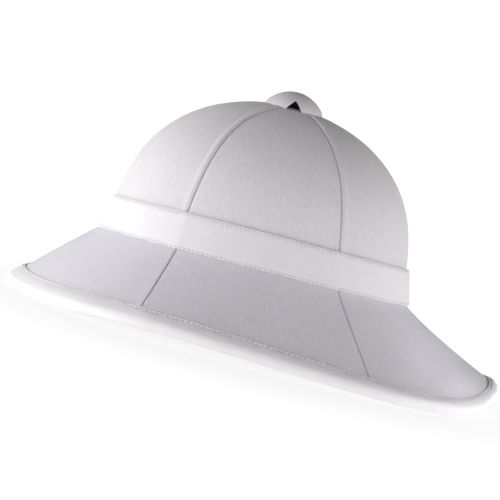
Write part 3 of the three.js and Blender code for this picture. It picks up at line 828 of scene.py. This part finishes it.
outline_turns = np.linspace(0, math.pi / 2, 400)
outline_r = np.concatenate([np.full(120, CAP_RADIUS), CAP_RADIUS * np.cos(outline_turns)])
outline_z = np.concatenate([
    np.linspace(-CAP_SKIRT, 0, 120, endpoint=False), CAP_HEIGHT * np.sin(outline_turns) ** (2 / CAP_CREST)])
outline_s = np.concatenate([[0], np.cumsum(np.hypot(np.diff(outline_r), np.diff(outline_z)))])
crown_top = np.linspace(60, CROWN_RISE - 0.001, 600)
crown_top_share = crown_top / CROWN_RISE
crown_top_reach = (CROWN_REACH - CROWN_TAPER * crown_top) * np.sqrt(1 - crown_top_share ** CROWN_CREST)
crown_top_width = crown_top_reach * CROWN_WIDTH_SHARE * (1 - CROWN_RIDGE * crown_top_share ** 2)
quarter = np.concatenate([np.linspace(-16, 16, 81), np.linspace(16, 74, 24)[1:-1]])
cap_angles = np.concatenate([quarter + 90 * k for k in range(4)])


def hole_half_width(z):
    """Half width of a pointed air hole at a height over the foot of the cap's dome"""
    share = np.clip((HOLE_TOP - z) / (HOLE_TOP + 2.4), 0, None)
    return np.where(z > HOLE_TOP, 0, HOLE_HALF_WIDTH * share ** 0.82)


cap_columns = []
for angle in cap_angles:
    turn = math.radians(angle)
    radius = 1 / np.hypot(np.sin(turn) / crown_top_width, np.cos(turn) / crown_top_reach)
    crown_level = np.interp(CAP_RADIUS, radius[::-1], crown_top[::-1]) - CROWN_RISE + CAP_DROP + CAP_CLEAR
    off_hole = (angle + 45) % 90 - 45
    inside_hole = np.abs(outline_r * math.sin(math.radians(off_hole))) < hole_half_width(outline_z)
    below = outline_z < crown_level
    blocked = np.nonzero(inside_hole | below)[0]
    cap_columns.append(outline_s[blocked[-1] + 1] if len(blocked) else 0.0)
cap_edge = np.array(cap_columns)
cap_s = cap_edge[None, :] + (outline_s[-1] - cap_edge)[None, :] * np.array(CAP_ROWS)[::-1][:, None]
cap_r = np.interp(cap_s, outline_s, outline_r)
cap_z = np.interp(cap_s, outline_s, outline_z)
slope_r = np.interp(cap_s, outline_s, np.gradient(outline_r, outline_s))
slope_z = np.interp(cap_s, outline_s, np.gradient(outline_z, outline_s))
from_edge = cap_s - cap_edge[None, :]
lip = 0.15 * np.exp(-((from_edge - 0.7) / 0.7) ** 2) - 0.25 * np.exp(-(from_edge / 0.25) ** 2)


def place_cap(r, z):
    turn = np.radians(cap_angles)[None, :]
    x, y, up = r * np.sin(turn), -r * np.cos(turn), z - CAP_DROP
    apex = crown_point(0.0, CROWN_RISE)
    lean_y = y * math.cos(CROWN_LEAN) - up * math.sin(CROWN_LEAN)
    lean_z = y * math.sin(CROWN_LEAN) + up * math.cos(CROWN_LEAN)
    return np.stack([x, lean_y, lean_z], axis=-1) + apex


cap_outer = place_cap(cap_r + slope_z * lip, cap_z - slope_r * lip)
cap_inner = place_cap(np.maximum(cap_r - slope_z * CAP_WALL, 0.2), cap_z + slope_r * CAP_WALL)
rows, columns = cap_outer.shape[:2]
index, lattice = grid_faces(rows, columns, False, True)
reach_from_top = outline_s[-1] - cap_s
cap_turns = np.radians(cap_angles)
cap_uv = np.stack([reach_from_top * np.sin(cap_turns), reach_from_top * np.cos(cap_turns)], axis=-1)
cap_uv = np.concatenate([cap_uv, cap_uv[:, :1]], axis=1)
quad_uv = cap_uv[lattice[..., 0], lattice[..., 1]]
count = rows * columns
j = np.arange(columns)
k = (j + 1) % columns
base = (rows - 1) * columns
edge_faces = np.stack([base + j, base + j + count, base + k + count, base + k], axis=-1)
edge_uv = np.stack([cap_uv[-1][j], cap_uv[-1][j], cap_uv[-1][j + 1], cap_uv[-1][j + 1]], axis=1)
top_points = np.stack([place_cap(np.zeros((1, 1)), np.full((1, 1), CAP_HEIGHT))[0, 0],
                       place_cap(np.zeros((1, 1)), np.full((1, 1), CAP_HEIGHT - CAP_WALL))[0, 0]])
points = np.concatenate([cap_outer.reshape(-1, 3), cap_inner.reshape(-1, 3), top_points])
fan_top = [[2 * count, int(a), int(b)] for a, b in zip(j, k)]
fan_under = [[2 * count + 1, int(b) + count, int(a) + count] for a, b in zip(j, k)]
fan_uv = [[(0, 0), tuple(cap_uv[0][a]), tuple(cap_uv[0][a + 1])] for a in j]
faces = [list(f) for f in np.concatenate([index, index[:, ::-1] + count, edge_faces])] + fan_top + fan_under
flat_uv = np.concatenate([
    quad_uv.reshape(-1, 2), quad_uv[:, ::-1].reshape(-1, 2), edge_uv.reshape(-1, 2),
    np.array(fan_uv).reshape(-1, 2), np.array(fan_uv)[:, [0, 2, 1]].reshape(-1, 2)])
# Painted shade: the cloth greys towards the cap's cut edges, at its foot on the crown and round the air holes
cap_painted_shade = np.concatenate([0.10 * np.exp(-from_edge / 1.5).ravel(), np.zeros(count + 2)])
vent_cap = make_mesh("vent_cap_dome", points, faces, flat_uv, 50, cap_painted_shade)
vent_cap.data.materials.append(cap_cotton)
vent_cap.data.materials.append(vent_painted_shade_black)
inner_start, inner_end = len(index), 2 * len(index)
# The inside, the cut edges and the under fan take the near-black painted shade
for polygon in vent_cap.data.polygons:
    under_fan = polygon.index >= inner_end + columns * 2
    if inner_start <= polygon.index < inner_end + columns or under_fan:
        polygon.material_index = 1
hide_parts("vent_cap")
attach(vent_cap, "root")


# Studio: a plain pale floor under soft light that comes from all round near the floor and little from above.
# The floor goes over into the white of the room a short way from the helmet.
FLOOR_RADIUS = 3.0
FLOOR_PALE = (0.86, 0.86, 0.87)


def pale_floor():
    material, nodes, links, shader = start_material("pale_studio_floor")
    shader.inputs["Base Color"].default_value = (*FLOOR_PALE, 1)
    shader.inputs["Roughness"].default_value = 0.9
    shader.inputs["Specular IOR Level"].default_value = 0.1
    place = nodes.new("ShaderNodeTexCoord")
    length = nodes.new("ShaderNodeVectorMath")
    length.operation = "LENGTH"
    links.new(place.outputs["Object"], length.inputs[0])
    fade = nodes.new("ShaderNodeMapRange")
    fade.interpolation_type = "SMOOTHSTEP"
    fade.inputs["From Min"].default_value = 0.1
    fade.inputs["From Max"].default_value = 0.27
    fade.inputs["To Min"].default_value = 0.8
    fade.inputs["To Max"].default_value = 1.0
    links.new(length.outputs["Value"], fade.inputs["Value"])
    glow = nodes.new("ShaderNodeEmission")
    glow.inputs["Color"].default_value = (1, 1, 1, 1)
    glow.inputs["Strength"].default_value = 1.03
    blend = nodes.new("ShaderNodeMixShader")
    links.new(fade.outputs["Result"], blend.inputs["Fac"])
    links.new(shader.outputs["BSDF"], blend.inputs[1])
    links.new(glow.outputs["Emission"], blend.inputs[2])
    links.new(blend.outputs["Shader"], nodes["Material Output"].inputs["Surface"])
    return material


floor_turns = np.radians(np.arange(96) * 3.75)
floor_rings = np.array([0.0001, 0.15, 0.4, 1.0, FLOOR_RADIUS])
floor_mesh = bpy.data.meshes.new("studio_floor")
ring_points = [(r * math.cos(t), r * math.sin(t), 0.0) for r in floor_rings for t in floor_turns]
floor_index, _ = grid_faces(len(floor_rings), len(floor_turns), False, True)
floor_mesh.from_pydata(ring_points, [], floor_index.tolist())
floor_mesh.update()
studio_floor = bpy.data.objects.new("studio_floor", floor_mesh)
bpy.context.scene.collection.objects.link(studio_floor)
floor_mesh.materials.append(pale_floor())

bpy.context.scene.view_settings.view_transform = "Standard"
room = bpy.data.worlds.new("white_room")
bpy.context.scene.world = room
room.use_nodes = True
nodes, links = room.node_tree.nodes, room.node_tree.links
direction = nodes.new("ShaderNodeTexCoord")
split = nodes.new("ShaderNodeSeparateXYZ")
links.new(direction.outputs["Generated"], split.inputs["Vector"])
upward = nodes.new("ShaderNodeValToRGB")
upward.color_ramp.interpolation = "EASE"
upward.color_ramp.elements[0].position = 0.26
upward.color_ramp.elements[0].color = (1.03, 1.03, 1.03, 1)
upward.color_ramp.elements[1].position = 0.5
upward.color_ramp.elements[1].color = (0.03, 0.03, 0.032, 1)
links.new(split.outputs["Z"], upward.inputs["Fac"])
links.new(upward.outputs["Color"], nodes["Background"].inputs["Color"])
nodes["Background"].inputs["Strength"].default_value = 1.0


def soft_panel(name, place, aim, size, power, tint, spread=180):
    lamp = bpy.data.lights.new(name, "AREA")
    lamp.shape = "RECTANGLE"
    lamp.size, lamp.size_y = size
    lamp.energy = power
    lamp.color = tint
    lamp.spread = math.radians(spread)
    panel = bpy.data.objects.new(name, lamp)
    panel.location = place
    panel.rotation_euler = (Vector(aim) - Vector(place)).to_track_quat("-Z", "Y").to_euler()
    bpy.context.scene.collection.objects.link(panel)


soft_panel("front_panel", (0.25, -1.1, 0.14), (0, -0.03, 0.07), (0.9, 0.4), 10.0, (1, 0.995, 1))
soft_panel("rear_panel", (0.3, 1.1, 0.16), (0, 0, 0.07), (0.9, 0.4), 5.4, (1, 0.99, 0.995))
soft_panel("front_low", (0.75, -0.65, 0.12), (0.06, -0.13, 0.01), (0.08, 0.08), 0.009, (1, 0.995, 1), 14)
soft_panel("rear_overhead", (0.36, 0.42, 0.5), (0.07, 0.15, 0.02), (0.08, 0.08), 0.011, (1, 0.99, 0.995), 14)

CAMERA_AIM = Vector((0, -0.0162, 0.062))
CAMERA_DISTANCE = 0.8
CAMERA_RISE = math.radians(1.8)
CAMERA_ROLL = math.radians(15.4)
away = Vector((math.cos(CAMERA_RISE), 0, math.sin(CAMERA_RISE)))
level_right = (-away).cross(Vector((0, 0, 1))).normalized()
level_up = level_right.cross(-away)
rolled_right = level_right * math.cos(CAMERA_ROLL) + level_up * math.sin(CAMERA_ROLL)
rolled_up = level_up * math.cos(CAMERA_ROLL) - level_right * math.sin(CAMERA_ROLL)
lens = bpy.data.cameras.new("photo_camera")
lens.lens = 84.9
lens.sensor_width = 36
lens.clip_start = 0.01
camera = bpy.data.objects.new("photo_camera", lens)
camera.matrix_world = Matrix.Translation(CAMERA_AIM + away * CAMERA_DISTANCE) @ Matrix(
    (rolled_right, rolled_up, away)).transposed().to_4x4()
bpy.context.scene.collection.objects.link(camera)
bpy.context.scene.camera = camera
